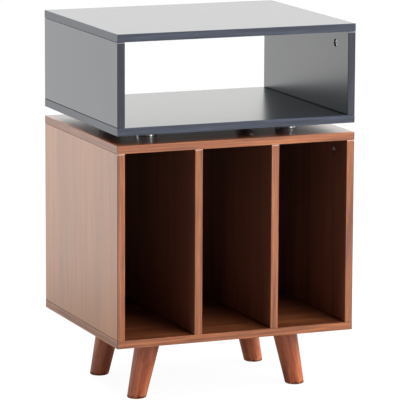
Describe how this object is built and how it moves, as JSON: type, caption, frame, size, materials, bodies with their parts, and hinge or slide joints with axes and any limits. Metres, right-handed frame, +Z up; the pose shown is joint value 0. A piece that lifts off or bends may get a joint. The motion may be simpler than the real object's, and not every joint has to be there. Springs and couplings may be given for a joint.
{
  "type": "hi-fi stand",
  "caption": "Hi-fi stand: an open-fronted record cabinet with upright dividers on splayed round legs, and an open shelf box held above it on short round spacers.",
  "frame": {"origin": "on the floor, under the middle of the stand", "axes": "+X to the right of someone facing the open front, +Y towards the back, +Z up"},
  "size_m": [0.48, 0.4, 0.711],
  "materials": {
    "graphite_laminate": "satin melamine on particle board, dark graphite",
    "graphite_edging": "satin edging strip, dark graphite",
    "walnut_laminate": "satin wood-grain melamine on particle board, red-brown walnut",
    "walnut_edging": "satin wood-grain edging strip, red-brown walnut",
    "back_board": "wood-grain foil on thin fibreboard",
    "leg_wood": "stained and satin lacquered beech",
    "spacer_chrome": "satin chrome plate",
    "zinc": "die-cast zinc, dull",
    "plated_steel": "zinc-plated steel",
    "dowel_wood": "plain beech",
    "plate_paint": "black powder coat on pressed steel",
    "pad_rubber": "black rubber"
  },
  "bodies": {
    "root": {"back_panel": "back_board", "cabinet_bottom_end_edging": "walnut_edging", "cabinet_bottom_long_edging": "walnut_edging", "cabinet_bottom_panel": "walnut_laminate", "cabinet_cam_bolts": "plated_steel", "cabinet_cams": "zinc", "cabinet_dowels": "dowel_wood", "cabinet_left_edging": "walnut_edging", "cabinet_left_side": "walnut_laminate", "cabinet_right_edging": "walnut_edging", "cabinet_right_side": "walnut_laminate", "cabinet_screws": "plated_steel", "cabinet_top_end_edging": "walnut_edging", "cabinet_top_long_edging": "walnut_edging", "cabinet_top_panel": "walnut_laminate", "foot_pad_back_left": "pad_rubber", "foot_pad_back_right": "pad_rubber", "foot_pad_front_left": "pad_rubber", "foot_pad_front_right": "pad_rubber", "left_divider": "walnut_laminate", "left_divider_edging": "walnut_edging", "leg_back_left": "leg_wood", "leg_back_right": "leg_wood", "leg_bolts": "plated_steel", "leg_front_left": "leg_wood", "leg_front_right": "leg_wood", "leg_plate_back_left": "plate_paint", "leg_plate_back_right": "plate_paint", "leg_plate_front_left": "plate_paint", "leg_plate_front_right": "plate_paint", "leg_plate_screws": "plated_steel", "right_divider": "walnut_laminate", "right_divider_edging": "walnut_edging", "shelf_bottom_end_edging": "graphite_edging", "shelf_bottom_long_edging": "graphite_edging", "shelf_bottom_panel": "graphite_laminate", "shelf_cam_bolts": "plated_steel", "shelf_cams": "zinc", "shelf_dowels": "dowel_wood", "shelf_left_edging": "graphite_edging", "shelf_left_side": "graphite_laminate", "shelf_right_edging": "graphite_edging", "shelf_right_side": "graphite_laminate", "shelf_screws": "plated_steel", "shelf_top_end_edging": "graphite_edging", "shelf_top_long_edging": "graphite_edging", "shelf_top_panel": "graphite_laminate", "spacer_back_left": "spacer_chrome", "spacer_back_right": "spacer_chrome", "spacer_front_left": "spacer_chrome", "spacer_front_right": "spacer_chrome", "spacer_screws": "plated_steel"}
  },
  "joints": []
}
